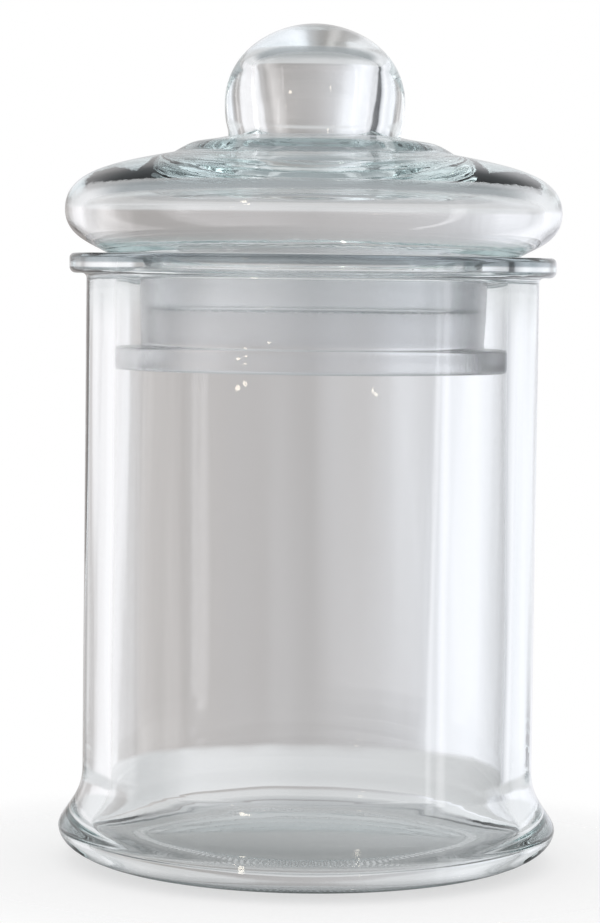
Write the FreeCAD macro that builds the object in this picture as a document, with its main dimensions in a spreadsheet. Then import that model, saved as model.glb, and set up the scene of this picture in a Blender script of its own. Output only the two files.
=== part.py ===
import FreeCAD, Part
import Sketcher
import os
from collections import namedtuple
from enum import IntEnum
from types import SimpleNamespace

# A lidded glass canister: a footed jar, a hollow lid with a ball knob, and the soft ring that seals them.
# All three are turned about +Z. The origin is the centre of the base, on the table.

# Driving dimensions in millimetres. Heights of the lid and the seal are counted from the jar's rim.
SIZES = [
    ("jar_height", 122.9, "rim above the table"),
    ("jar_radius", 45.75, "outside of the straight wall"),
    ("jar_wall", 6.0, "thickness of the straight wall"),
    ("floor_thickness", 4.0, "inner floor above the table"),
    ("floor_round", 2.0, "width of the corner between the inner floor and the foot"),
    ("inner_foot_spread", 4.25, "bore inside the foot beyond the straight bore"),
    ("inner_foot_rise", 1.8, "widest level of the bore inside the foot over the inner floor"),
    ("inner_flare_height", 18.0, "where the flare inside the foot meets the straight bore"),
    ("push_up", 1.2, "hollow under the middle of the base"),
    ("foot_spread", 4.85, "foot beyond the wall"),
    ("foot_height", 6.9, "widest level of the foot"),
    ("flare_height", 18.5, "where the flare of the foot meets the wall"),
    ("heel_width", 14.6, "from the widest of the foot in to the bearing ring"),
    ("bearing_width", 3.6, "flat ring that the jar stands on"),
    ("notch_pitch", 1.2, "spacing of the notches round the bearing ring"),
    ("notch_length", 2.0, "radial length of a notch"),
    ("notch_width", 0.6, "width of a notch"),
    ("notch_depth", 0.4, "depth of a notch"),
    ("rim_spread", 3.45, "rim beyond the wall"),
    ("rim_thickness", 4.0, "height of the rim's edge"),
    ("rim_top_round", 1.0, "upper edge of the rim"),
    ("rim_under_round", 1.3, "lower edge of the rim"),
    ("rim_root_round", 1.0, "corner between the rim and the wall"),
    ("mouth_round", 0.6, "inner edge of the mouth"),
    ("seat_width", 1.85, "how far the lid's seat reaches out over the rim"),
    ("bulge_spread", 4.45, "lid's bulging edge beyond the jar's wall"),
    ("bulge_height", 8.9, "widest level of the bulging edge"),
    ("step_radius", 28.5, "foot of the step round the knob"),
    ("step_height", 20.5, "foot of the step"),
    ("knob_radius", 18.2, "widest of the knob"),
    ("knob_waist", 0.8, "how far the knob draws in at its root"),
    ("knob_root_height", 23.9, "root of the knob"),
    ("knob_height", 30.7, "widest level of the knob"),
    ("lid_height", 46.7, "top of the knob"),
    ("lid_wall", 3.4, "glass round the lid's hollow at the bulging edge"),
    ("ceiling_wall", 4.3, "glass over the lid's hollow at the step"),
    ("ceiling_inset", 1.5, "flat ceiling of the lid's hollow inside the foot of the step"),
    ("seat_wall", 3.0, "glass beside the hollow at the edge of the seat"),
    ("seat_rise", 1.5, "glass over the seat"),
    ("neck_drop", 1.0, "where the hollow narrows to the skirt, below the rim"),
    ("knob_wall", 5.3, "glass round the knob's hollow"),
    ("knob_cap", 4.6, "glass over the knob's hollow"),
    ("hollow_crown", 6.4, "height of the crown of the knob's hollow"),
    ("hollow_waist", 2.1, "how far the knob's hollow narrows at its neck"),
    ("throat_round", 4.0, "where the knob's hollow opens into the lid's"),
    ("skirt_length", 11.0, "tip of the skirt below the rim"),
    ("skirt_wall", 3.2, "thickness of the skirt"),
    ("skirt_mouth_gap", 5.35, "from the skirt to the bore at the rim"),
    ("skirt_tip_gap", 5.9, "from the skirt to the bore at its tip"),
    ("skirt_root_round", 2.5, "corner between the skirt and the seat"),
    ("skirt_tip_round", 1.2, "edges of the skirt's tip"),
    ("seal_top", 3.4, "upper end of the seal's sleeve below the rim"),
    ("seal_bottom", 23.0, "underside of the seal below the rim"),
    ("seal_sleeve", 1.0, "thickness of the sleeve"),
    ("seal_foot", 4.7, "height of the seal's thick foot"),
    ("seal_round", 0.8, "outer edges of the seal's foot"),
    ("seal_bore_clearance", 0.1, "between the seal's foot and the bore"),
    ("seal_skirt_clearance", 0.08, "between the sleeve and the skirt"),
]

# How a curve bends between two corners: where its two handles stand, as shares of the way in r and in z.
Bend = namedtuple("Bend", "leave arrive")
HOLLOW_BEND = Bend((0.5, 0.0), (0.9, 0.5))
HEEL_BEND = Bend((0.55, 0.0), (1.0, 0.45))
FLARE_BEND = Bend((0.0, 0.19), (1.0, 0.46))
UNDERSIDE_BEND = Bend((0.39, 0.225), (1.0, 0.38))
DOME_BEND = Bend((0.0, 0.64), (0.41, 0.8))
STEP_BEND = Bend((0.47, 0.92), (0.31, 0.51))
ROOT_BEND = Bend((0.28, 0.42), (1.0, 0.29))
CROWN_BEND = Bend((0.0, 0.63), (0.52, 1.0))
CORNER_BEND = Bend((0.55, 0.0), (1.0, 0.45))
INNER_FLARE_BEND = Bend((0.0, 0.54), (1.0, 0.81))
FLOOR_BEND = Bend((0.0, 0.55), (0.45, 1.0))
BULB_BEND = Bend((0.0, 0.4), (1.0, 0.6))
THROAT_BEND = Bend((0.0, 0.55), (0.45, 1.0))
INNER_DOME_BEND = Bend((0.59, 0.2), (1.0, 0.36))
INNER_UNDERSIDE_BEND = Bend((0.0, 0.62), (0.61, 0.775))
NECK_BEND = Bend((0.5, 0.73), (1.0, 0.55))

FULL_TURN = 360
EDGE_TOLERANCE = 1e-4


class Axis(IntEnum):
    """A sketch's own numbers for its axes."""

    ACROSS = -1
    UP = -2


class Spot(IntEnum):
    """A sketch's own numbers for the points of an edge."""

    START = 1
    END = 2
    CENTRE = 3


class Term:
    """A size, or a sum of sizes: what it comes to, and the same thing written over the sheet."""

    def __init__(self, value, text):
        self.value = value
        self.text = text

    def join(self, sign, value, other):
        return Term(value, f"({self.text} {sign} {other.text})")

    def __add__(self, other):
        return self.join("+", self.value + other.value, other)

    def __sub__(self, other):
        return self.join("-", self.value - other.value, other)

    def __truediv__(self, other):
        return self.join("/", self.value / other.value, other)

    def __mul__(self, other):
        return self.join("*", self.value * other.value, other)


AXIS = Term(0.0, "0")
TABLE = Term(0.0, "0")


def share(number):
    return Term(number, str(number))


def part_way(start, end, along):
    """The point at the given shares of the way from one corner to the next."""
    return tuple(low + (high - low) * share(part) for low, high, part in zip(start, end, along))


def write_sheet(doc):
    sheet = doc.addObject("Spreadsheet::Sheet", "Sizes")
    for row, (alias, value, meaning) in enumerate(SIZES, start=1):
        sheet.set(f"A{row}", meaning)
        sheet.set(f"B{row}", str(value))
        sheet.setAlias(f"B{row}", alias)
    doc.recompute()
    return SimpleNamespace(**{alias: Term(value, f"Sizes.{alias}") for alias, value, meaning in SIZES})


def new_body(doc, label):
    body = doc.addObject("PartDesign::Body", label)
    body.Label = label
    return body


def new_sketch(body, name, role):
    sketch = body.newObject("Sketcher::SketchObject", name)
    plane = [feature for feature in body.Origin.OriginFeatures if feature.Role == role][0]
    sketch.AttachmentSupport = (plane, [""])
    sketch.MapMode = "FlatFace"
    return sketch


def bind(sketch, kind, geometry, point, term):
    """Hold a point at a distance from the origin, where the axis across starts, that follows the sheet."""
    distance = Sketcher.Constraint(kind, Axis.ACROSS, Spot.START, geometry, point, term.value)
    index = sketch.addConstraint(distance)
    sketch.setExpression(f"Constraints[{index}]", term.text)


def measure(sketch, kind, line, term):
    """Hold a line's own length, across or up, at a size of the sheet."""
    distance = Sketcher.Constraint(kind, line, Spot.START, line, Spot.END, term.value)
    index = sketch.addConstraint(distance)
    sketch.setExpression(f"Constraints[{index}]", term.text)


def place(sketch, geometry, point, where):
    """Tie a point to its distance from the axis and its height over the table."""
    r, z = where
    if r is AXIS:
        sketch.addConstraint(Sketcher.Constraint("PointOnObject", geometry, point, Axis.UP))
    else:
        bind(sketch, "DistanceX", geometry, point, r)
    if z is TABLE:
        sketch.addConstraint(Sketcher.Constraint("PointOnObject", geometry, point, Axis.ACROSS))
    else:
        bind(sketch, "DistanceY", geometry, point, z)


def vector(where):
    return FreeCAD.Vector(where[0].value, where[1].value, 0)


def add_curve(sketch, start, end, bend):
    """A cubic curve whose first three poles are tied to the sheet; the next edge's start holds the fourth."""
    poles = [start, part_way(start, end, bend.leave), part_way(start, end, bend.arrive), end]
    spline = Part.BSplineCurve()
    points = [vector(pole) for pole in poles]
    spline.buildFromPolesMultsKnots(points, [len(poles)] * 2, [0.0, 1.0], False, len(poles[:-1]))
    curve = sketch.addGeometry(spline, False)
    sketch.exposeInternalGeometry(curve)
    for pole, where in enumerate(poles[:-1], start=1):
        place(sketch, curve + pole, Spot.CENTRE, where)
    return curve


def add_line(sketch, start, end):
    line = sketch.addGeometry(Part.LineSegment(vector(start), vector(end)), False)
    place(sketch, line, Spot.START, start)
    return line


def half_section(body, name, outline):
    """A closed half section beside the axis: a line leaves each corner, or the bend listed with it."""
    sketch = new_sketch(body, name, "XZ_Plane")
    edges = []
    for corner, following in zip(outline, outline[1:] + outline[:1]):
        start = corner[:2]
        end = following[:2]
        if len(corner) > len(start):
            edges.append(add_curve(sketch, start, end, corner[-1]))
        else:
            edges.append(add_line(sketch, start, end))
    for edge, following in zip(edges, edges[1:] + edges[:1]):
        sketch.addConstraint(Sketcher.Constraint("Coincident", edge, Spot.END, following, Spot.START))
    return sketch


def turn(doc, body, name, sketch):
    feature = body.newObject("PartDesign::Revolution", name)
    feature.Profile = sketch
    feature.ReferenceAxis = (sketch, ["V_Axis"])
    feature.Angle = FULL_TURN
    doc.recompute()
    return feature


def circles_at(shape, where):
    """Names of the circular edges at one distance from the axis and one height."""
    r, z = where
    names = []
    for number, edge in enumerate(shape.Edges, start=1):
        if edge.Degenerated or not isinstance(edge.Curve, Part.Circle):
            continue
        level = abs(edge.Curve.Center.z - z.value) < EDGE_TOLERANCE
        if level and abs(edge.Curve.Radius - r.value) < EDGE_TOLERANCE:
            names.append(f"Edge{number}")
    return names


def round_edges(doc, body, name, corners, radius):
    """Round the turned edges at the given corners with one radius."""
    base = body.Tip
    feature = body.newObject("PartDesign::Fillet", name)
    feature.Base = (base, [edge for corner in corners for edge in circles_at(base.Shape, corner)])
    feature.setExpression("Radius", radius.text)
    doc.recompute()
    return feature


def make_jar(doc, size, fit):
    body = new_body(doc, "jar")
    rim_under = size.jar_height - size.rim_thickness
    rim_top_edge = (fit.rim_radius, size.jar_height)
    rim_low_edge = (fit.rim_radius, rim_under)
    rim_root = (size.jar_radius, rim_under)
    mouth_edge = (fit.bore, size.jar_height)
    inner_foot = fit.bore + size.inner_foot_spread
    bearing_inner = fit.bearing_outer - size.bearing_width
    outline = [
        (AXIS, size.push_up, HOLLOW_BEND),
        (bearing_inner, TABLE),
        (fit.bearing_outer, TABLE, HEEL_BEND),
        (fit.foot_radius, size.foot_height, FLARE_BEND),
        (size.jar_radius, size.flare_height),
        rim_root,
        rim_low_edge,
        rim_top_edge,
        mouth_edge,
        (fit.bore, size.inner_flare_height, INNER_FLARE_BEND),
        (inner_foot, size.floor_thickness + size.inner_foot_rise, FLOOR_BEND),
        (inner_foot - size.floor_round, size.floor_thickness),
        (AXIS, size.floor_thickness),
    ]
    turn(doc, body, "jar_turned", half_section(body, "jar_section", outline))
    round_edges(doc, body, "rim_top", [rim_top_edge], size.rim_top_round)
    round_edges(doc, body, "rim_under", [rim_low_edge], size.rim_under_round)
    round_edges(doc, body, "rim_root", [rim_root], size.rim_root_round)
    round_edges(doc, body, "mouth", [mouth_edge], size.mouth_round)
    notch_bearing_ring(doc, body, size, fit)
    return body


def notch_bearing_ring(doc, body, size, fit):
    """Short radial notches cut up into the flat ring, which keeps a plain edge on both sides of them."""
    two = share(2)
    middle = fit.bearing_outer - size.bearing_width / two
    inner = middle - size.notch_length / two
    sketch = new_sketch(body, "notch_section", "XY_Plane")
    half_width = size.notch_width.value / 2
    outer = inner.value + size.notch_length.value
    corners = [
        FreeCAD.Vector(inner.value, -half_width, 0),
        FreeCAD.Vector(outer, -half_width, 0),
        FreeCAD.Vector(outer, half_width, 0),
        FreeCAD.Vector(inner.value, half_width, 0),
    ]
    sides = [
        sketch.addGeometry(Part.LineSegment(start, end), False)
        for start, end in zip(corners, corners[1:] + corners[:1])
    ]
    low, far, high, near = sides
    for side, following in zip(sides, sides[1:] + sides[:1]):
        sketch.addConstraint(Sketcher.Constraint("Coincident", side, Spot.END, following, Spot.START))
    for side in (low, high):
        sketch.addConstraint(Sketcher.Constraint("Horizontal", side))
    sketch.addConstraint(Sketcher.Constraint("Vertical", far))
    sketch.addConstraint(Sketcher.Constraint("Symmetric", near, Spot.START, near, Spot.END, Axis.ACROSS))
    bind(sketch, "DistanceX", low, Spot.START, inner)
    measure(sketch, "DistanceX", low, size.notch_length)
    measure(sketch, "DistanceY", far, size.notch_width)
    pocket = body.newObject("PartDesign::Pocket", "notch")
    pocket.Profile = sketch
    pocket.setExpression("Length", size.notch_depth.text)
    pocket.Reversed = True
    doc.recompute()
    pattern = body.newObject("PartDesign::PolarPattern", "notches")
    pattern.Originals = [pocket]
    pattern.Axis = (sketch, ["N_Axis"])
    pattern.Angle = FULL_TURN
    pattern.setExpression("Occurrences", f"floor(2 * pi * {middle.text} / {size.notch_pitch.text})")
    body.Tip = pattern
    doc.recompute()


def make_lid(doc, size, fit):
    body = new_body(doc, "lid")
    rim = size.jar_height
    top = rim + size.lid_height
    bulge_radius = size.jar_radius + size.bulge_spread
    bulge_level = rim + size.bulge_height
    hollow_radius = size.knob_radius - size.knob_wall
    hollow_top = top - size.knob_cap
    hollow_neck = hollow_radius - size.hollow_waist
    ceiling = rim + size.step_height - size.ceiling_wall
    seat_radius = fit.bore + size.seat_width
    skirt_root = (fit.skirt_mouth_radius, rim)
    tip_outer = (fit.skirt_tip_radius, fit.skirt_tip)
    tip_inner = (fit.skirt_tip_radius - size.skirt_wall, fit.skirt_tip)
    outline = [
        tip_outer,
        skirt_root,
        (seat_radius, rim, UNDERSIDE_BEND),
        (bulge_radius, bulge_level, DOME_BEND),
        (size.step_radius, rim + size.step_height, STEP_BEND),
        (size.knob_radius - size.knob_waist, rim + size.knob_root_height, ROOT_BEND),
        (size.knob_radius, rim + size.knob_height, CROWN_BEND),
        (AXIS, top),
        (AXIS, hollow_top, CORNER_BEND),
        (hollow_radius, hollow_top - size.hollow_crown, BULB_BEND),
        (hollow_neck, ceiling + size.throat_round, THROAT_BEND),
        (hollow_neck + size.throat_round, ceiling),
        (size.step_radius - size.ceiling_inset, ceiling, INNER_DOME_BEND),
        (bulge_radius - size.lid_wall, bulge_level, INNER_UNDERSIDE_BEND),
        (seat_radius - size.seat_wall, rim + size.seat_rise, NECK_BEND),
        (fit.skirt_mouth_radius - size.skirt_wall, rim - size.neck_drop),
        tip_inner,
    ]
    turn(doc, body, "lid_turned", half_section(body, "lid_section", outline))
    round_edges(doc, body, "skirt_root", [skirt_root], size.skirt_root_round)
    round_edges(doc, body, "skirt_tip", [tip_outer, tip_inner], size.skirt_tip_round)
    return body


def make_seal(doc, size, fit):
    body = new_body(doc, "seal")
    bottom = size.jar_height - size.seal_bottom
    top = size.jar_height - size.seal_top
    shoulder = bottom + size.seal_foot
    outer = fit.bore - size.seal_bore_clearance
    foot_low_edge = (outer, bottom)
    foot_high_edge = (outer, shoulder)

    def sleeve_inside(level):
        drop = size.jar_height - level
        return fit.skirt_mouth_radius - drop * fit.skirt_taper + size.seal_skirt_clearance

    outline = [
        (sleeve_inside(bottom), bottom),
        foot_low_edge,
        foot_high_edge,
        (sleeve_inside(shoulder) + size.seal_sleeve, shoulder),
        (sleeve_inside(top) + size.seal_sleeve, top),
        (sleeve_inside(top), top),
    ]
    turn(doc, body, "seal_turned", half_section(body, "seal_section", outline))
    round_edges(doc, body, "foot_edges", [foot_low_edge, foot_high_edge], size.seal_round)
    return body


def shared_fits(size):
    """Radii and heights that more than one piece is built to."""
    bore = size.jar_radius - size.jar_wall
    foot_radius = size.jar_radius + size.foot_spread
    return SimpleNamespace(
        bore=bore,
        foot_radius=foot_radius,
        bearing_outer=foot_radius - size.heel_width,
        rim_radius=size.jar_radius + size.rim_spread,
        skirt_tip=size.jar_height - size.skirt_length,
        skirt_mouth_radius=bore - size.skirt_mouth_gap,
        skirt_tip_radius=bore - size.skirt_tip_gap,
        skirt_taper=(size.skirt_tip_gap - size.skirt_mouth_gap) / size.skirt_length,
    )


def check(doc, bodies):
    """Stop if any object failed to build or any piece is empty or unsound."""
    for item in doc.Objects:
        if "Invalid" in item.State or "Error" in item.State:
            raise RuntimeError(f"{item.Label} failed: {item.State}")
    for body in bodies:
        if body.Shape.isNull() or not body.Shape.isValid():
            raise RuntimeError(f"{body.Label} has no sound shape")


def main():
    doc = FreeCAD.newDocument("canister")
    size = write_sheet(doc)
    fit = shared_fits(size)
    bodies = [make_jar(doc, size, fit), make_lid(doc, size, fit), make_seal(doc, size, fit)]
    doc.recompute()
    check(doc, bodies)
    os.makedirs("parts", exist_ok=True)
    for body in bodies:
        body.Shape.exportStep(f"parts/{body.Label}.step")
        print(body.Label, "volume", round(body.Shape.Volume, 1), "faces", len(body.Shape.Faces))


main()
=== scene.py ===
import math

import bpy
import numpy as np
from mathutils import Euler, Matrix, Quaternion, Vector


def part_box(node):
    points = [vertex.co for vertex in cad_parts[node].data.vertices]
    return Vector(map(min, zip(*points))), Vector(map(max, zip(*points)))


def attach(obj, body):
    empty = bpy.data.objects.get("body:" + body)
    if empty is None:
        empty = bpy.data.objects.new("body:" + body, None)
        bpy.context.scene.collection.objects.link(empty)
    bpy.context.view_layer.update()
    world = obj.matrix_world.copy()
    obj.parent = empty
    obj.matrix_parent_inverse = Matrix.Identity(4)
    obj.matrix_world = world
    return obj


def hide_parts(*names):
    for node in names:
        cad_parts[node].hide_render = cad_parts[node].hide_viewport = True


bl_info = {
    "name": "Lidded Glass Canister",
    "version": (1, 0, 0),
    "blender": (4, 5, 0),
    "location": "View3D > Sidebar > Canister",
    "description": "Glass jar, hollow glass lid and milky seal, dressed around the packed model",
    "category": "Object",
}

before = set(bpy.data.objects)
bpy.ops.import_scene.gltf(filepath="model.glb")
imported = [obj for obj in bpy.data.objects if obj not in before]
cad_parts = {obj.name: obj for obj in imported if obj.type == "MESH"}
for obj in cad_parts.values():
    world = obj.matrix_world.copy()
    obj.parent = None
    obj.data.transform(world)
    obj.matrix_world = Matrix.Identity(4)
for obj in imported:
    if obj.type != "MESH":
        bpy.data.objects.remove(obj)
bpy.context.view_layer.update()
JAR_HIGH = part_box("jar")[1]
LID_LOW, LID_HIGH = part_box("lid")
SEAL_LOW, SEAL_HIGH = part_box("seal")
RIM_LEVEL = JAR_HIGH.z
MM = 0.001
FULL_TURN = 2 * math.pi
SHARP_ANGLE = math.radians(50)
GLASS_IOR = 1.51
GLASS_BOUNCES = 32
SEAL_IOR = 1.45
SEAL_CLEARNESS = 0.95
SEAL_ROUGHNESS = 0.12
SEAL_ROUGHNESS_SPREAD = 0.18


def length(name, default, description):
    return bpy.props.FloatProperty(
        name=name, description=description, default=default, min=0.0, precision=5,
        subtype="DISTANCE", unit="LENGTH",
    )


def tint(name, default, description):
    return bpy.props.FloatVectorProperty(
        name=name, description=description, default=default, min=0.0, max=1.0, subtype="COLOR",
    )


def amount(name, default, description):
    return bpy.props.FloatProperty(
        name=name, description=description, default=default, min=0.0, subtype="FACTOR",
    )


def angle(name, degrees, description):
    return bpy.props.FloatProperty(
        name=name, description=description, default=math.radians(degrees), subtype="ANGLE", unit="ROTATION",
    )


class JarSizes(bpy.types.PropertyGroup):
    """Sizes of the jar that the frame's box doesn't give."""

    wall_radius: length("Wall radius", 45.75 * MM, "Outside of the straight wall")
    wall: length("Wall", 6.0 * MM, "Thickness of the straight wall")
    floor: length("Floor", 4.0 * MM, "Inner floor above the table")
    floor_round: length("Floor corner", 2.0 * MM, "Width of the corner between the inner floor and the foot")
    inner_foot_radius: length("Inner foot radius", 44.0 * MM, "Widest of the bore inside the foot")
    inner_foot_level: length("Inner foot level", 5.8 * MM, "Widest level of the bore inside the foot")
    inner_flare_level: length("Inner flare level", 18.0 * MM, "Where the inner flare meets the straight bore")
    push_up: length("Push-up", 1.2 * MM, "Hollow under the middle of the base")
    foot_level: length("Foot level", 6.9 * MM, "Widest level of the foot")
    flare_level: length("Flare level", 18.5 * MM, "Where the flare of the foot meets the wall")
    heel: length("Heel", 14.6 * MM, "From the widest of the foot in to the bearing ring")
    bearing: length("Bearing ring", 3.6 * MM, "Width of the ring that the jar stands on")
    notch_depth: length("Notch depth", 0.4 * MM, "Depth of the notches in the bearing ring")
    notch_length: length("Notch length", 2.1 * MM, "Length of a notch across the bearing ring")
    notch_pitch: length("Notch pitch", 1.2 * MM, "Spacing of the notches round the bearing ring")
    rim_spread: length("Rim spread", 3.45 * MM, "Rim beyond the wall")
    rim_thickness: length("Rim thickness", 4.0 * MM, "Height of the rim's edge")
    rim_top_round: length("Rim top edge", 1.0 * MM, "Rounding of the rim's upper edge")
    rim_root_round: length("Rim root", 1.0 * MM, "Corner between the wall and the rim's underside")
    rim_low_round: length("Rim low edge", 1.3 * MM, "Rounding of the rim's lower edge")
    mouth_round: length("Mouth edge", 0.6 * MM, "Rounding of the mouth's inner edge")
    ripple: length("Ripple", 0.12 * MM, "Unevenness of the blown inner wall")


class LidSizes(bpy.types.PropertyGroup):
    """Sizes of the lid that the frame's box doesn't give. Levels are counted from the jar's rim."""

    seat_radius: length("Seat radius", 41.6 * MM, "Outer edge of the flat that rests on the rim")
    bulge_level: length("Bulge level", 8.9 * MM, "Widest level of the bulging edge")
    step_radius: length("Step radius", 28.5 * MM, "Foot of the step round the knob")
    step_level: length("Step level", 20.5 * MM, "Foot of the step")
    knob_radius: length("Knob radius", 18.2 * MM, "Widest of the knob")
    knob_root_radius: length("Knob root radius", 17.4 * MM, "Where the knob leaves the step")
    knob_root_level: length("Knob root level", 23.9 * MM, "Level of the knob's root")
    knob_level: length("Knob level", 30.7 * MM, "Widest level of the knob")
    knob_wall: length("Knob wall", 5.3 * MM, "Glass round the knob's hollow")
    knob_cap: length("Knob cap", 4.6 * MM, "Glass over the knob's hollow")
    hollow_round: length("Hollow crown", 6.4 * MM, "Height of the crown of the knob's hollow")
    hollow_waist: length("Hollow waist", 2.1 * MM, "Narrowing of the knob's hollow at its neck")
    hollow_radius: length("Hollow radius", 46.8 * MM, "Widest of the lid's hollow, level with the bulge")
    ceiling_radius: length("Ceiling radius", 27.0 * MM, "Edge of the flat ceiling of the hollow")
    ceiling_level: length("Ceiling level", 16.2 * MM, "Flat ceiling of the hollow")
    sill_radius: length("Sill radius", 38.6 * MM, "Inner edge of the glass over the seat")
    sill_level: length("Sill level", 1.5 * MM, "Glass over the seat")
    neck_drop: length("Neck drop", 1.0 * MM, "Where the hollow narrows to the skirt, below the rim")
    seat_gap: length("Seat gap", 0.03 * MM, "Air that keeps the faces of seat and rim apart")
    throat_round: length("Throat", 4.0 * MM, "Where the knob's hollow opens into the lid's")
    skirt_wall: length("Skirt wall", 3.2 * MM, "Thickness of the skirt")
    skirt_mouth_radius: length("Skirt mouth radius", 34.4 * MM, "Outside of the skirt at the rim")
    skirt_tip_radius: length("Skirt tip radius", 33.85 * MM, "Outside of the skirt at its tip")
    skirt_root_round: length("Skirt root", 2.5 * MM, "Corner between the skirt and the seat")
    skirt_tip_round: length("Skirt tip", 1.2 * MM, "Edges of the skirt's tip")


class SealSizes(bpy.types.PropertyGroup):
    """Sizes of the seal that the frame's box doesn't give."""

    sleeve: length("Sleeve", 1.0 * MM, "Thickness of the sleeve round the skirt")
    foot: length("Foot", 4.7 * MM, "Height of the thick foot")
    foot_round: length("Foot edge", 0.8 * MM, "Rounding of the foot's outer edges")
    top_round: length("Top edge", 0.3 * MM, "Rounding of the sleeve's top")
    clearance: length("Clearance", 0.08 * MM, "Between the sleeve and the skirt")


class Finishes(bpy.types.PropertyGroup):
    """Colours of the glass and the seal, and the painted shade on the glass."""

    glass_tint: tint("Glass tint", (0.74, 0.88, 0.88), "Colour that thick glass takes on")
    glass_depth: amount("Glass depth", 11.0, "How fast the tint gathers along the way through the glass")
    # Painted shade: a dark colour mixed into the glass's base colour in rings at the jar's rim and heel, the
    # lid's step and the skirt's tip, by the amounts below.
    painted_shade_tint: tint("Edge tint", (0.09, 0.13, 0.15), "Colour of thick glass seen from its edge")
    rim_shade: amount("Rim shade", 0.9, "How much of the edge tint the jar's rim takes")
    heel_shade: amount("Heel shade", 0.5, "How much of the edge tint the jar's heel takes")
    shoulder_shade: amount("Shoulder shade", 0.5, "How much of the edge tint the lid's step takes")
    tip_shade: amount("Skirt tip shade", 0.25, "How much of the edge tint the skirt's tip takes")
    streak_depth: length("Streaks", 0.03 * MM, "Depth of the fine upright streaks in the glass")
    wear: amount("Wear", 0.5, "Roughness of the rings that rub against other things")
    seal_colour: tint("Seal colour", (0.978, 0.984, 0.994), "Milky plastic")
    seal_cloud: tint("Seal clouds", (0.955, 0.965, 0.982), "Cloudy patches in the plastic")
    seal_grain: length("Seal grain", 0.02 * MM, "Depth of the moulded grain")


class StageLook(bpy.types.PropertyGroup):
    """Camera and studio."""

    camera_distance: length("Camera distance", 653.0 * MM, "From the jar's axis to the camera")
    camera_height: length("Camera height", 119.4 * MM, "Camera above the table")
    camera_pitch: angle("Camera pitch", 3.355, "How far the camera looks down")
    camera_yaw: angle("Camera yaw", 0.189, "How far the camera looks to the left")
    camera_roll: angle("Camera roll", 0.70, "How far the camera leans")
    paint: tint("Floor", (0.97, 0.97, 0.97), "Pale paint of the floor")
    table_steep: tint("Table from above", (0.62, 0.63, 0.64), "Table in the glass, looked at steeply")
    table_grazing: tint("Table along it", (0.74, 0.74, 0.75), "Table in the glass, looked at along it")
    # Painted shadow: the jar's shadow on the table that the glass shows, as a dark glow.
    painted_shadow_steep: tint("Under from above", (0.60, 0.61, 0.62), "Table under the jar, looked at steeply")
    painted_shadow_grazing: tint("Under along it", (0.16, 0.17, 0.17), "Table under the jar, looked at along it")
    upper_walls: tint("Upper walls", (0.80, 0.81, 0.82), "What the glass shows of the walls above eye level")
    ceiling: tint("Ceiling", (0.37, 0.395, 0.41), "Dim grey that the glass shows above it")
    lamp: tint("Lamps", (1.0, 0.9, 0.76), "Warm light of the small lamps in the glass")
    lamp_strength: amount("Lamp strength", 14.0, "Brightness of the small lamps in the glass")


GROUPS = {
    "canister_jar": JarSizes,
    "canister_lid": LidSizes,
    "canister_seal": SealSizes,
    "canister_finish": Finishes,
    "canister_stage": StageLook,
}

# How a curve bends between two corners: its two handles, as shares of the way in r and in z.
HOLLOW_BEND = ((0.5, 0.0), (0.9, 0.5))
HEEL_BEND = ((0.55, 0.0), (1.0, 0.45))
FLARE_BEND = ((0.0, 0.19), (1.0, 0.46))
INNER_FLARE_BEND = ((0.0, 0.54), (1.0, 0.81))
FLOOR_BEND = ((0.0, 0.55), (0.45, 1.0))
UNDERSIDE_BEND = ((0.39, 0.225), (1.0, 0.38))
DOME_BEND = ((0.0, 0.64), (0.41, 0.8))
STEP_BEND = ((0.47, 0.92), (0.31, 0.51))
ROOT_BEND = ((0.28, 0.42), (1.0, 0.29))
CROWN_BEND = ((0.0, 0.63), (0.52, 1.0))
CORNER_BEND = ((0.55, 0.0), (1.0, 0.45))
BULB_BEND = ((0.0, 0.4), (1.0, 0.6))
THROAT_BEND = ((0.0, 0.55), (0.45, 1.0))
NECK_BEND = ((0.0, 0.45), (0.5, 0.27))


def backwards(bend):
    """The same bend walked from its far end."""
    leave, arrive = bend
    return tuple(1 - x for x in arrive), tuple(1 - x for x in leave)


def stretch(start, end, steps, bend=None):
    """Points from start up to, but not including, end: evenly along a line, or along a cubic curve
    whose handles stand at the bend's shares of the way."""
    start = np.array(start)
    way = np.array(end) - start
    t = np.arange(steps)[:, None] / steps
    if bend is None:
        return start + way * t
    leave = start + way * bend[0]
    arrive = start + way * bend[1]
    return (
        (1 - t) ** 3 * start
        + 3 * (1 - t) ** 2 * t * leave
        + 3 * (1 - t) * t ** 2 * arrive
        + t ** 3 * (start + way)
    )


def rounded(before, corner, after, radius, steps):
    """Points of the arc that rounds a corner: it leaves one side and joins the other at the same distance
    from the corner, and each point is the corner's quadratic blend pushed out onto the circle."""
    before, corner, after = (np.array(p) for p in (before, corner, after))
    to_before = (before - corner) / np.linalg.norm(before - corner)
    to_after = (after - corner) / np.linalg.norm(after - corner)
    half = math.acos(np.clip(to_before @ to_after, -1, 1)) / 2
    inward = (to_before + to_after) / np.linalg.norm(to_before + to_after)
    centre = corner + inward * radius / math.sin(half)
    first = corner + to_before * radius / math.tan(half) - centre
    last = corner + to_after * radius / math.tan(half) - centre
    turn = math.pi - 2 * half
    t = np.linspace(0, 1, steps + 1)[:, None]
    return centre + (np.sin((1 - t) * turn) * first + np.sin(t * turn) * last) / math.sin(turn)


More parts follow.
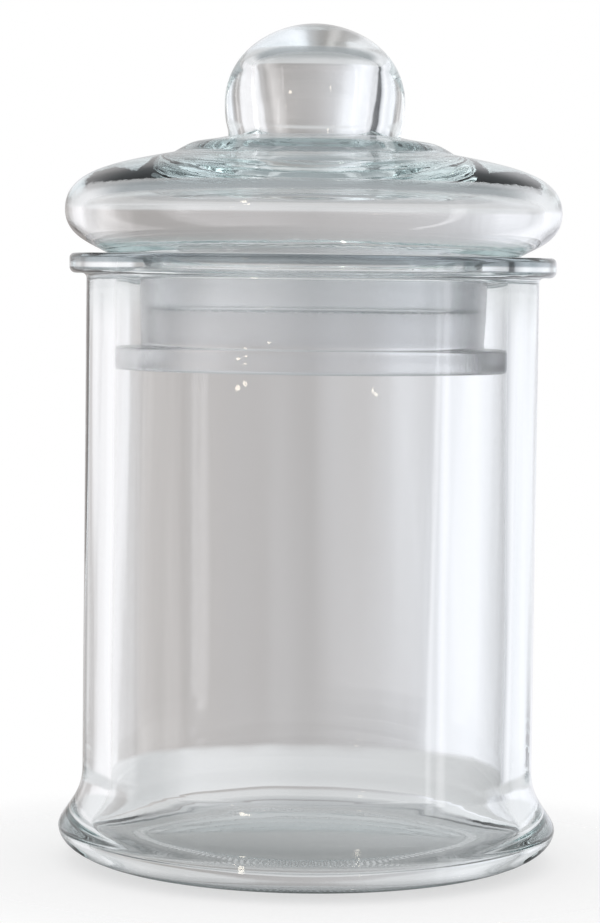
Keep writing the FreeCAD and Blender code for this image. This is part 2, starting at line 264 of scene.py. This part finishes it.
def outline(corners, closed):
    """A profile as an array of (r, z) rows. Each corner is (r, z, steps to the next, bend, rounding)."""
    places = [np.array(c[:2]) for c in corners]
    count = len(corners)
    rows = []
    leave = {}
    arrive = {}
    arcs = {}
    for i, corner in enumerate(corners):
        radius = corner[4] if len(corner) > 4 else 0.0
        if radius:
            arcs[i] = rounded(places[i - 1], places[i], places[(i + 1) % count], radius, 8)
            arrive[i] = arcs[i][0]
            leave[i] = arcs[i][-1]
        else:
            arrive[i] = leave[i] = places[i]
    last = count if closed else count - 1
    for i in range(last):
        if i in arcs:
            rows.append(arcs[i][:-1])
        bend = corners[i][3] if len(corners[i]) > 3 else None
        rows.append(stretch(leave[i], arrive[(i + 1) % count], corners[i][2], bend))
    if not closed:
        rows.append(places[-1][None])
    return np.concatenate(rows)


def ripple(theta, z, seed, waves, upright):
    """Smooth unevenness between 0 and 1: a sum of waves round the axis and along it, with whole numbers of
    waves round, so that it closes. A large upright makes long vertical streaks, as drawn glass has."""
    rng = np.random.default_rng(seed)
    total = np.zeros(np.broadcast(theta, z).shape)
    for _ in range(waves):
        around = rng.integers(3, 26)
        along = rng.normal() / upright
        phase = rng.uniform(0, FULL_TURN)
        total += np.sin(around * theta + along * z + phase) / waves ** 0.5
    return 0.5 + 0.25 * np.clip(total, -2, 2)


def turned_mesh(name, radius, level, closed):
    """Mesh of a surface turned about the axis, from grids of radius and level, rows along the profile and
    columns round the axis. A profile that isn't closed starts and ends on the axis, at one point each."""
    rows, columns = radius.shape
    theta = np.arange(columns) * FULL_TURN / columns
    grid = np.stack([radius * np.cos(theta), radius * np.sin(theta), level], axis=-1)
    index = np.arange(rows * columns).reshape(rows, columns)
    if not closed:
        index = index.copy()
        index[0] = index[0, 0]
        index[-1] = index[-1, 0]
    following = np.roll(index, -1, axis=0) if closed else index[1:]
    current = index if closed else index[:-1]
    quads = np.stack(
        [current, np.roll(current, -1, axis=1), np.roll(following, -1, axis=1), following], axis=-1,
    ).reshape(-1, 4)
    used, compact = np.unique(quads, return_inverse=True)
    points = grid.reshape(-1, 3)[used]
    quads = compact.reshape(-1, 4)
    if closed:
        faces = quads.tolist()
    else:
        first = quads[:columns][:, [1, 2, 3]]
        last = quads[-columns:][:, [0, 1, 2]]
        faces = first.tolist() + quads[columns:-columns].tolist() + last.tolist()
    mesh = bpy.data.meshes.new(name)
    mesh.from_pydata(points, [], faces)
    if signed_volume(mesh) < 0:
        mesh.flip_normals()
    mesh.polygons.foreach_set("use_smooth", np.ones(len(mesh.polygons), bool))
    mesh.set_sharp_from_angle(angle=SHARP_ANGLE)
    mesh.update()
    mesh.validate()
    return mesh


def signed_volume(mesh):
    """Volume inside a closed mesh, below 0 where its faces point inward."""
    mesh.calc_loop_triangles()
    corners = np.empty(len(mesh.loop_triangles) * 3, np.int32)
    mesh.loop_triangles.foreach_get("vertices", corners)
    places = np.empty(len(mesh.vertices) * 3)
    mesh.vertices.foreach_get("co", places)
    a, b, c = places.reshape(-1, 3)[corners.reshape(-1, 3)].transpose(1, 0, 2)
    return np.einsum("ij,ij->i", a, np.cross(b, c)).sum() / 6


def add_piece(mesh, material, body, node):
    """Put a finished mesh in the scene in place of a CAD node, riding on a body."""
    piece = bpy.data.objects.new(mesh.name, mesh)
    bpy.context.scene.collection.objects.link(piece)
    mesh.materials.append(material)
    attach(piece, body)
    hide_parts(node)
    return piece


def smooth_step(x, low, high):
    t = np.clip((x - low) / (high - low), 0, 1)
    return t * t * (3 - 2 * t)


def new_material(name):
    material = bpy.data.materials.new(name)
    material.use_nodes = True
    tree = material.node_tree
    tree.nodes.clear()
    return material, tree


def maths(tree, operation, *values):
    """A maths node fed with sockets or plain numbers; gives its output socket."""
    node = tree.nodes.new("ShaderNodeMath")
    node.operation = operation
    for socket, value in zip(node.inputs, values):
        if isinstance(value, (int, float)):
            socket.default_value = value
        else:
            tree.links.new(value, socket)
    return node.outputs["Value"]


def new_group(name, given, results):
    """An empty shader group with number sockets; gives it with its input and output nodes."""
    group = bpy.data.node_groups.new(name, "ShaderNodeTree")
    for kind, sockets in (("INPUT", given), ("OUTPUT", results)):
        for socket in sockets:
            group.interface.new_socket(socket, in_out=kind, socket_type="NodeSocketFloat")
    return group, group.nodes.new("NodeGroupInput"), group.nodes.new("NodeGroupOutput")


def zone_group():
    """Shader group: 1 inside a ring between two radii and two levels, fading to 0 over a soft edge."""
    group, given, result = new_group("ring_zone", ("Low", "High", "Inner", "Outer", "Soft"), ("Share",))
    place = group.nodes.new("ShaderNodeTexCoord")
    axes = group.nodes.new("ShaderNodeSeparateXYZ")
    group.links.new(place.outputs["Object"], axes.inputs["Vector"])

    def between(value, low, high):
        rise = maths(group, "DIVIDE", maths(group, "SUBTRACT", value, low), given.outputs["Soft"])
        fall = maths(group, "DIVIDE", maths(group, "SUBTRACT", high, value), given.outputs["Soft"])
        return maths(group, "MAXIMUM", maths(group, "MINIMUM", maths(group, "MINIMUM", rise, fall), 1.0), 0.0)

    square = [maths(group, "MULTIPLY", axes.outputs[axis], axes.outputs[axis]) for axis in ("X", "Y")]
    radius = maths(group, "SQRT", maths(group, "ADD", *square))
    upright = between(axes.outputs["Z"], given.outputs["Low"], given.outputs["High"])
    outward = between(radius, given.outputs["Inner"], given.outputs["Outer"])
    group.links.new(maths(group, "MULTIPLY", upright, outward), result.inputs["Share"])
    return group


def grain_group():
    """Shader group: soft noise in the piece's own space, drawn out along the axis by the stretch."""
    group, given, result = new_group("drawn_grain", ("Scale", "Stretch"), ("Height",))
    place = group.nodes.new("ShaderNodeTexCoord")
    axes = group.nodes.new("ShaderNodeSeparateXYZ")
    drawn = group.nodes.new("ShaderNodeCombineXYZ")
    noise = group.nodes.new("ShaderNodeTexNoise")
    noise.inputs["Detail"].default_value = 3.0
    group.links.new(place.outputs["Object"], axes.inputs["Vector"])
    group.links.new(axes.outputs["X"], drawn.inputs["X"])
    group.links.new(axes.outputs["Y"], drawn.inputs["Y"])
    group.links.new(maths(group, "DIVIDE", axes.outputs["Z"], given.outputs["Stretch"]), drawn.inputs["Z"])
    group.links.new(drawn.outputs["Vector"], noise.inputs["Vector"])
    group.links.new(given.outputs["Scale"], noise.inputs["Scale"])
    group.links.new(noise.outputs["Fac"], result.inputs["Height"])
    return group


def add_group(tree, make, name, **values):
    """A node of a shared group, made on first use, with its inputs set by name."""
    node = tree.nodes.new("ShaderNodeGroup")
    node.node_tree = bpy.data.node_groups.get(name) or make()
    for socket, value in values.items():
        node.inputs[socket].default_value = value
    return node.outputs[0]


def add_mix(tree, share, low, high):
    """A mix of two colours by a share, each a socket or a plain colour; gives its output socket."""
    mix = tree.nodes.new("ShaderNodeMix")
    mix.data_type = "RGBA"
    for socket, colour in ((mix.inputs["A"], low), (mix.inputs["B"], high)):
        if isinstance(colour, bpy.types.NodeSocket):
            tree.links.new(colour, socket)
        else:
            socket.default_value = (*colour, 1)
    tree.links.new(share, mix.inputs["Factor"])
    return mix.outputs["Result"]


def ranged(tree, value, low, high, most=1.0, shape="SMOOTHSTEP"):
    """A map range node from 0 at low to the most at high, held beyond both; gives its output socket."""
    node = tree.nodes.new("ShaderNodeMapRange")
    node.interpolation_type = shape
    node.inputs["From Min"].default_value = low
    node.inputs["From Max"].default_value = high
    node.inputs["To Max"].default_value = most
    tree.links.new(value, node.inputs["Value"])
    return node.outputs["Result"]


def glowing(tree, colour):
    """An emission shader in a colour, which is a socket or a plain colour; gives its output socket."""
    node = tree.nodes.new("ShaderNodeEmission")
    if isinstance(colour, bpy.types.NodeSocket):
        tree.links.new(colour, node.inputs["Color"])
    else:
        node.inputs["Color"].default_value = (*colour, 1)
    return node.outputs["Emission"]


def mix_shaders(tree, share, first, second):
    """A mix of two shaders by a share, which is a socket or a plain number; gives its output socket."""
    mix = tree.nodes.new("ShaderNodeMixShader")
    if isinstance(share, bpy.types.NodeSocket):
        tree.links.new(share, mix.inputs["Fac"])
    else:
        mix.inputs["Fac"].default_value = share
    tree.links.new(first, mix.inputs[1])
    tree.links.new(second, mix.inputs[2])
    return mix.outputs["Shader"]


def add_bump(tree, height, depth, shader):
    bump = tree.nodes.new("ShaderNodeBump")
    bump.inputs["Distance"].default_value = depth
    tree.links.new(height, bump.inputs["Height"])
    tree.links.new(bump.outputs["Normal"], shader.inputs["Normal"])


def glass_material(name, finish, edges, worn):
    """Clear glass with a tint that gathers with depth, painted shade in dark rings, drawn streaks and a worn
    ring.
    """
    material, tree = new_material(name)
    nodes, links = tree.nodes, tree.links
    out = nodes.new("ShaderNodeOutputMaterial")
    glass = nodes.new("ShaderNodeBsdfPrincipled")
    glass.inputs["IOR"].default_value = GLASS_IOR
    glass.inputs["Transmission Weight"].default_value = 1.0
    links.new(glass.outputs["BSDF"], out.inputs["Surface"])
    depth = nodes.new("ShaderNodeVolumeAbsorption")
    depth.inputs["Color"].default_value = (*finish.glass_tint, 1)
    depth.inputs["Density"].default_value = finish.glass_depth
    links.new(depth.outputs["Volume"], out.inputs["Volume"])
    # Painted shade: each ring darkens the base colour towards the painted shade tint by its share.
    shade = 0.0
    for share, edge in edges:
        zone = add_group(tree, zone_group, "ring_zone", **edge)
        shade = maths(tree, "ADD", maths(tree, "MULTIPLY", zone, share), shade)
    links.new(add_mix(tree, shade, (1, 1, 1), finish.painted_shade_tint), glass.inputs["Base Color"])
    streaks = add_group(tree, grain_group, "drawn_grain", Scale=110.0, Stretch=9.0)
    add_bump(tree, streaks, finish.streak_depth, glass)
    scuffs = add_group(tree, grain_group, "drawn_grain", Scale=900.0, Stretch=1.0)
    wear = maths(tree, "MULTIPLY", add_group(tree, zone_group, "ring_zone", **worn), scuffs)
    links.new(maths(tree, "MULTIPLY", wear, finish.wear), glass.inputs["Roughness"])
    return material


def seal_material(finish):
    """Milky plastic: cloudy colour, a soft sheen that comes and goes, and fine moulded grain."""
    material, tree = new_material("milky_seal")
    nodes, links = tree.nodes, tree.links
    out = nodes.new("ShaderNodeOutputMaterial")
    plastic = nodes.new("ShaderNodeBsdfPrincipled")
    plastic.inputs["IOR"].default_value = SEAL_IOR
    plastic.inputs["Transmission Weight"].default_value = SEAL_CLEARNESS
    links.new(plastic.outputs["BSDF"], out.inputs["Surface"])
    clouds = add_group(tree, grain_group, "drawn_grain", Scale=60.0, Stretch=2.0)
    links.new(add_mix(tree, clouds, finish.seal_cloud, finish.seal_colour), plastic.inputs["Base Color"])
    uneven = maths(tree, "MULTIPLY", clouds, SEAL_ROUGHNESS_SPREAD)
    links.new(maths(tree, "ADD", uneven, SEAL_ROUGHNESS), plastic.inputs["Roughness"])
    grain = add_group(tree, grain_group, "drawn_grain", Scale=1500.0, Stretch=1.0)
    add_bump(tree, grain, finish.seal_grain, plastic)
    return material


class CANISTER_OT_jar(bpy.types.Operator):
    """Turn the jar: rim, wall, flared foot, notched bearing ring and uneven inner wall"""

    bl_idname = "canister.jar"
    bl_label = "Jar"

    def execute(self, context):
        size = context.scene.canister_jar
        bore = size.wall_radius - size.wall
        foot = JAR_HIGH.x
        bearing_outer = foot - size.heel
        rim = size.wall_radius + size.rim_spread
        rim_under = RIM_LEVEL - size.rim_thickness
        profile = outline([
            (0.0, size.push_up, 6, HOLLOW_BEND),
            (bearing_outer - size.bearing, 0.0, 9),
            (bearing_outer, 0.0, 12, HEEL_BEND),
            (foot, size.foot_level, 16, FLARE_BEND),
            (size.wall_radius, size.flare_level, 6),
            (size.wall_radius, rim_under, 2, None, size.rim_root_round),
            (rim, rim_under, 1, None, size.rim_low_round),
            (rim, RIM_LEVEL, 4, None, size.rim_top_round),
            (bore, RIM_LEVEL, 20, None, size.mouth_round),
            (bore, size.inner_flare_level, 16, INNER_FLARE_BEND),
            (size.inner_foot_radius, size.inner_foot_level, 12, FLOOR_BEND),
            (size.inner_foot_radius - size.floor_round, size.floor, 3),
            (0.0, size.floor, 0),
        ], closed=False)
        middle = bearing_outer - size.bearing / 2
        per_notch = 4
        columns = per_notch * math.floor(FULL_TURN * middle / size.notch_pitch)
        theta = np.arange(columns) * FULL_TURN / columns
        r, z = profile[:, :1], profile[:, 1:]
        slack = 0.1 * MM
        rise_of_foot = 20 * MM
        depth_of_mouth = 6 * MM
        in_bore = r < bore + slack
        fade = smooth_step(z, size.floor, size.floor + rise_of_foot)
        fade = fade * smooth_step(RIM_LEVEL - z, 0, depth_of_mouth)
        uneven = ripple(theta, z, seed=5, waves=12, upright=30 * MM)
        radius = r + in_bore * fade * size.ripple * uneven
        notched = (z < slack / 10) & (abs(r - middle) < size.notch_length / 2)
        level = z + size.notch_depth * notched * (np.arange(columns) % per_notch < per_notch / 2)
        mesh = turned_mesh("jar_glass", radius, level, closed=False)
        finish = context.scene.canister_finish
        # Painted shade on the rim's top edge and on the heel, where the glass looks dark.
        edges = [
            (finish.rim_shade, dict(
                Low=RIM_LEVEL - 2.1 * MM, High=RIM_LEVEL + 1.0 * MM,
                Inner=size.wall_radius + 0.5 * MM, Outer=rim + 1.0 * MM, Soft=0.4 * MM,
            )),
            (finish.heel_shade, dict(
                Low=-2.0 * MM, High=4.5 * MM, Inner=bearing_outer, Outer=foot + 2.0 * MM, Soft=1.5 * MM,
            )),
        ]
        worn = dict(
            Low=-1.0 * MM, High=0.5 * MM, Inner=bearing_outer - size.bearing, Outer=bearing_outer,
            Soft=0.3 * MM,
        )
        material = glass_material("jar_clear_glass", finish, edges, worn)
        add_piece(mesh, material, "jar", "jar")
        return {"FINISHED"}


class CANISTER_OT_lid(bpy.types.Operator):
    """Turn the hollow lid: skirt, seat, bulging edge, dome, step and ball knob"""

    bl_idname = "canister.lid"
    bl_label = "Lid"

    def execute(self, context):
        size = context.scene.canister_lid
        columns = 384
        rim = RIM_LEVEL
        top = LID_HIGH.z
        bulge = LID_HIGH.x
        hollow = size.knob_radius - size.knob_wall
        neck = hollow - size.hollow_waist
        hollow_top = top - size.knob_cap
        ceiling = rim + size.ceiling_level
        tip = LID_LOW.z
        seat = rim + size.seat_gap
        profile = outline([
            (0.0, top, 30, backwards(CROWN_BEND)),
            (size.knob_radius, rim + size.knob_level, 10, backwards(ROOT_BEND)),
            (size.knob_root_radius, rim + size.knob_root_level, 14, backwards(STEP_BEND)),
            (size.step_radius, rim + size.step_level, 24, backwards(DOME_BEND)),
            (bulge, rim + size.bulge_level, 20, backwards(UNDERSIDE_BEND)),
            (size.seat_radius, seat, 3),
            (size.skirt_mouth_radius, seat, 8, None, size.skirt_root_round),
            (size.skirt_tip_radius, tip, 1, None, size.skirt_tip_round),
            (size.skirt_tip_radius - size.skirt_wall, tip, 10, None, size.skirt_tip_round),
            (size.skirt_mouth_radius - size.skirt_wall, rim - size.neck_drop, 12, NECK_BEND),
            (size.sill_radius, rim + size.sill_level, 16, UNDERSIDE_BEND),
            (size.hollow_radius, rim + size.bulge_level, 24, DOME_BEND),
            (size.ceiling_radius, ceiling, 8),
            (neck + size.throat_round, ceiling, 10, backwards(THROAT_BEND)),
            (neck, ceiling + size.throat_round, 10, BULB_BEND),
            (hollow, hollow_top - size.hollow_round, 16, backwards(CORNER_BEND)),
            (0.0, hollow_top, 0),
        ], closed=False)
        theta = np.arange(columns) * FULL_TURN / columns
        r, z = profile[:, :1], profile[:, 1:]
        mesh = turned_mesh("lid_glass", r + 0 * theta, z + 0 * theta, closed=False)
        finish = context.scene.canister_finish
        # Painted shade on the step round the knob and on the skirt's tip.
        edges = [
            (finish.shoulder_shade, dict(
                Low=rim + 16.6 * MM, High=rim + 25 * MM, Inner=16.5 * MM, Outer=38 * MM, Soft=1.5 * MM,
            )),
            (finish.tip_shade, dict(
                Low=tip - 1.0 * MM, High=tip + 1.6 * MM, Inner=25 * MM, Outer=36 * MM, Soft=0.6 * MM,
            )),
        ]
        worn = dict(
            Low=tip - 1.0 * MM, High=tip + 1.0 * MM, Inner=size.skirt_tip_radius - size.skirt_wall,
            Outer=size.skirt_tip_radius, Soft=0.5 * MM,
        )
        material = glass_material("lid_clear_glass", finish, edges, worn)
        add_piece(mesh, material, "lid", "lid")
        return {"FINISHED"}


class CANISTER_OT_seal(bpy.types.Operator):
    """Turn the milky seal: a sleeve round the skirt with a thick foot"""

    bl_idname = "canister.seal"
    bl_label = "Seal"

    def execute(self, context):
        size = context.scene.canister_seal
        lid = context.scene.canister_lid
        columns = 256
        bottom = SEAL_LOW.z
        top = SEAL_HIGH.z
        outer = SEAL_HIGH.x
        shoulder = bottom + size.foot

        def inside(level):
            share = (RIM_LEVEL - level) / (RIM_LEVEL - LID_LOW.z)
            taper = (lid.skirt_tip_radius - lid.skirt_mouth_radius) * share
            return lid.skirt_mouth_radius + taper + size.clearance

        profile = outline([
            (inside(bottom), bottom, 4),
            (outer, bottom, 4, None, size.foot_round),
            (outer, shoulder, 4, None, size.foot_round),
            (inside(shoulder) + size.sleeve, shoulder, 8, None, size.foot_round),
            (inside(top) + size.sleeve, top, 2, None, size.top_round),
            (inside(top), top, 12, None, size.top_round),
        ], closed=True)
        theta = np.arange(columns) * FULL_TURN / columns
        mesh = turned_mesh("seal_ring", profile[:, :1] + 0 * theta, profile[:, 1:] + 0 * theta, closed=True)
        add_piece(mesh, seal_material(context.scene.canister_finish), "seal", "seal")
        return {"FINISHED"}


class CANISTER_OT_stage(bpy.types.Operator):
    """Set the pale floor, the soft light and the camera"""

    bl_idname = "canister.stage"
    bl_label = "Stage"

    def execute(self, context):
        look = context.scene.canister_stage
        add_floor(look)
        add_world(look)
        add_camera(look)
        context.scene.view_settings.view_transform = "Standard"
        cycles = context.scene.cycles
        cycles.max_bounces = cycles.transmission_bounces = cycles.transparent_max_bounces = GLASS_BOUNCES
        cycles.glossy_bounces = GLASS_BOUNCES // 2
        return {"FINISHED"}


FLOOR_REACH = 1.0
FLOOR_DROP = 0.05 * MM
# Distances from the axis between which one look of the floor gives way to the next.
PAINT_FADES = (45 * MM, 100 * MM)
TABLE_FADES = (105 * MM, 135 * MM)
# The jar's painted shadow on the table lies a little towards the camera.
SHADE_CENTRE = (0.0, -14 * MM, 0.0)
SHADE_FADES = (46 * MM, 60 * MM)
# How far the look along the surface has to go from steep to grazing for each tone.
TABLE_GRAZES = (0.50, 0.88)
SHADOW_GRAZES = (0.25, 0.60)
# Part of the paint that glows, so that the floor near the jar is nearly as white as the background.
PAINT_GLOW = 0.62


def add_floor(look):
    """A pale disc just under the table plane: rings of points at even radii, each a full circle."""
    rings, columns = 24, 96
    radius = np.linspace(0, FLOOR_REACH, rings)[:, None] + np.zeros(columns)
    theta = np.arange(columns) * FULL_TURN / columns
    points = np.stack(
        [radius * np.cos(theta), radius * np.sin(theta), 0 * radius - FLOOR_DROP], -1,
    ).reshape(-1, 3)
    index = np.arange(rings * columns).reshape(rings, columns)
    quads = np.stack([index[:-1], index[1:], np.roll(index[1:], -1, 1), np.roll(index[:-1], -1, 1)], -1)
    mesh = bpy.data.meshes.new("floor")
    mesh.from_pydata(points, [], quads.reshape(-1, 4).tolist())
    floor = bpy.data.objects.new("floor", mesh)
    bpy.context.scene.collection.objects.link(floor)
    mesh.materials.append(floor_material(look))


def floor_material(look):
    """Pale paint that fades out to the white background. Seen through the glass or mirrored in it, the floor
    is a small glowing table instead, which has its own tones and the jar's shadow painted on it as a dark
    glow."""
    material, tree = new_material("pale_floor")
    nodes, links = tree.nodes, tree.links
    out = nodes.new("ShaderNodeOutputMaterial")
    paint = nodes.new("ShaderNodeBsdfDiffuse")
    paint.inputs["Color"].default_value = (*look.paint, 1)
    clear = nodes.new("ShaderNodeBsdfTransparent").outputs["BSDF"]
    place = nodes.new("ShaderNodeTexCoord").outputs["Object"]

    def away_from(point):
        distance = nodes.new("ShaderNodeVectorMath")
        distance.operation = "DISTANCE"
        distance.inputs[1].default_value = point
        links.new(place, distance.inputs[0])
        return distance.outputs["Value"]

    from_axis = away_from((0.0, 0.0, 0.0))
    pale = mix_shaders(tree, PAINT_GLOW, paint.outputs["BSDF"], glowing(tree, (1, 1, 1)))
    painted = mix_shaders(tree, ranged(tree, from_axis, *PAINT_FADES), pale, clear)
    facing = nodes.new("ShaderNodeLayerWeight").outputs["Facing"]
    along = ranged(tree, facing, *TABLE_GRAZES)
    table = glowing(tree, add_mix(tree, along, look.table_steep, look.table_grazing))
    # Painted shadow of the jar: a dark glow on the table under the jar, darkest when looked at along it.
    along = ranged(tree, facing, *SHADOW_GRAZES)
    under = glowing(tree, add_mix(tree, along, look.painted_shadow_steep, look.painted_shadow_grazing))
    shaded = mix_shaders(tree, ranged(tree, away_from(SHADE_CENTRE), *SHADE_FADES), under, table)
    shown = mix_shaders(tree, ranged(tree, from_axis, *TABLE_FADES), shaded, clear)
    path = nodes.new("ShaderNodeLightPath")
    by_glass = maths(tree, "MAXIMUM", path.outputs["Is Transmission Ray"], path.outputs["Is Glossy Ray"])
    links.new(mix_shaders(tree, by_glass, painted, shown), out.inputs["Surface"])
    return material


# What the glass shows of the studio, going round from behind the camera by the left: degrees, brightness
# and warmth, which is how much more red than blue there is.
SURROUNDINGS = (
    (-180, 0.6, 0.0), (-155, 1.45, 0.0), (-120, 2.0, 0.0), (-108, 1.4, 0.0), (-102, 0.6, 0.0),
    (-88, 0.5, 0.0), (-76, 0.62, 0.0), (-68, 1.6, 0.0), (-57, 1.0, 0.0), (-33, 1.04, 0.0),
    (-27, 0.92, 0.0), (-25, 0.74, 0.01), (-23, 0.50, 0.03), (-17, 0.45, 0.04), (-13, 0.68, 0.035),
    (-10, 0.56, 0.04), (-7, 0.38, 0.05), (-3, 0.40, 0.03), (1, 0.51, 0.015), (5, 0.62, -0.015),
    (8, 0.97, -0.03), (13, 1.15, -0.03), (29, 1.0, -0.03), (41, 1.15, -0.02), (47, 0.92, -0.02),
    (51, 0.66, -0.04), (54, 0.12, -0.04), (106, 0.5, -0.02), (107.5, 2.7, 0.0), (110.5, 2.7, 0.0),
    (112, 0.5, 0.0), (180, 0.6, 0.0),
)
BRIGHTEST = max(level for turn, level, warmth in SURROUNDINGS)

# Small warm lamps that the glass mirrors: degrees round, degrees up, and degrees across and upright.
LAMPS = (
    (-148.0, 12.0, 4.0, 7.0), (-157.0, -0.45, 3.0, 0.16), (-143.0, -0.85, 2.4, 0.10),
    (-143.4, -1.25, 2.4, 0.10), (-142.8, -1.65, 2.0, 0.08), (-143.0, -2.1, 3.0, 0.12),
)


# Heights of directions, as the sine of their elevation: where the walls turn paler, and where the ceiling is.
WALLS_TURN_PALE = (0.01, 0.07)
WALLS_PALENESS = 0.65
CEILING_BEGINS = (0.30, 0.60)
# The walls' green, as a share of what would be grey.
WALLS_GREEN = 0.98
# The soft edge of a lamp, as shares of its half width squared.
LAMP_EDGE = (1.0, 0.4)


def add_world(look):
    """White for the camera and for soft light; for what the glass mirrors or lets through, the studio."""
    world = bpy.data.worlds.new("studio")
    bpy.context.scene.world = world
    world.use_nodes = True
    tree = world.node_tree
    tree.nodes.clear()
    nodes, links = tree.nodes, tree.links
    out = nodes.new("ShaderNodeOutputWorld")
    white = nodes.new("ShaderNodeBackground")
    white.inputs["Color"].default_value = (1, 1, 1, 1)
    seen = nodes.new("ShaderNodeBackground")
    seen.inputs["Strength"].default_value = BRIGHTEST
    links.new(studio_colour(tree, look), seen.inputs["Color"])
    path = nodes.new("ShaderNodeLightPath")
    plain = maths(tree, "MAXIMUM", path.outputs["Is Camera Ray"], path.outputs["Is Diffuse Ray"])
    both = mix_shaders(tree, plain, seen.outputs["Background"], white.outputs["Background"])
    links.new(both, out.inputs["Surface"])


def studio_colour(tree, look):
    """Colour of the studio by direction, as a share of the brightest: walls, paler above eye level, then the
    ceiling and the lamps. Gives its output socket."""
    nodes, links = tree.nodes, tree.links
    axes = nodes.new("ShaderNodeSeparateXYZ")
    links.new(nodes.new("ShaderNodeTexCoord").outputs["Generated"], axes.inputs["Vector"])
    turn = maths(tree, "ARCTAN2", axes.outputs["X"], axes.outputs["Y"])
    height = axes.outputs["Z"]
    ramp = nodes.new("ShaderNodeValToRGB")
    stops = ramp.color_ramp.elements
    while len(stops) > 1:
        stops.remove(stops[-1])
    for k, (degrees, level, warmth) in enumerate(SURROUNDINGS):
        stop = stops[0] if k == 0 else stops.new(degrees / 360 + 0.5)
        stop.position = degrees / 360 + 0.5
        share = level / BRIGHTEST
        stop.color = (share * (1 + warmth), share * WALLS_GREEN, share * (1 - warmth), 1)
    links.new(ranged(tree, turn, -math.pi, math.pi, shape="LINEAR"), ramp.inputs["Fac"])

    def dimmed(colour, strength=1.0):
        return [x * strength / BRIGHTEST for x in colour]

    paler = ranged(tree, height, *WALLS_TURN_PALE, most=WALLS_PALENESS)
    walls = add_mix(tree, paler, ramp.outputs["Color"], dimmed(look.upper_walls))
    colour = add_mix(tree, ranged(tree, height, *CEILING_BEGINS), walls, dimmed(look.ceiling))
    for turned, raised, across, upright in LAMPS:
        aside = maths(tree, "SUBTRACT", turn, math.radians(turned))
        aside = maths(tree, "DIVIDE", aside, math.radians(across / 2))
        up = maths(tree, "SUBTRACT", height, math.sin(math.radians(raised)))
        up = maths(tree, "DIVIDE", up, math.radians(upright / 2))
        off = maths(tree, "ADD", maths(tree, "MULTIPLY", aside, aside), maths(tree, "MULTIPLY", up, up))
        spot = ranged(tree, off, *LAMP_EDGE, shape="LINEAR")
        colour = add_mix(tree, spot, colour, dimmed(look.lamp, look.lamp_strength))
    return colour


FOCAL_LENGTH_MM = 125.5
SENSOR_WIDTH_MM = 36.0


def add_camera(look):
    """A long lens at about the height of the rim, looking a little down and leaning a little."""
    lens = bpy.data.cameras.new("camera")
    lens.lens = FOCAL_LENGTH_MM
    lens.sensor_width = SENSOR_WIDTH_MM
    lens.clip_start = 10 * MM
    camera = bpy.data.objects.new("camera", lens)
    bpy.context.scene.collection.objects.link(camera)
    camera.location = (0.0, -look.camera_distance, look.camera_height)
    aim = Euler((math.pi / 2 - look.camera_pitch, 0.0, look.camera_yaw), "YXZ").to_quaternion()
    camera.rotation_mode = "QUATERNION"
    camera.rotation_quaternion = aim @ Quaternion((0, 0, 1), look.camera_roll)
    bpy.context.scene.camera = camera


class CANISTER_PT_panel(bpy.types.Panel):
    """Lists the canister's pieces in the sidebar"""

    bl_idname = "CANISTER_PT_panel"
    bl_label = "Canister"
    bl_space_type = "VIEW_3D"
    bl_region_type = "UI"
    bl_category = "Canister"

    def draw(self, context):
        for operator in OPERATORS:
            self.layout.operator(operator.bl_idname)


OPERATORS = (CANISTER_OT_jar, CANISTER_OT_lid, CANISTER_OT_seal, CANISTER_OT_stage)
CLASSES = (*GROUPS.values(), *OPERATORS, CANISTER_PT_panel)


def register():
    for cls in CLASSES:
        bpy.utils.register_class(cls)
    for name, group in GROUPS.items():
        setattr(bpy.types.Scene, name, bpy.props.PointerProperty(type=group))


def unregister():
    for name in GROUPS:
        delattr(bpy.types.Scene, name)
    for cls in reversed(CLASSES):
        bpy.utils.unregister_class(cls)


def main():
    register()
    bpy.ops.canister.jar()
    bpy.ops.canister.lid()
    bpy.ops.canister.seal()
    bpy.ops.canister.stage()


if __name__ == "__main__":
    main()
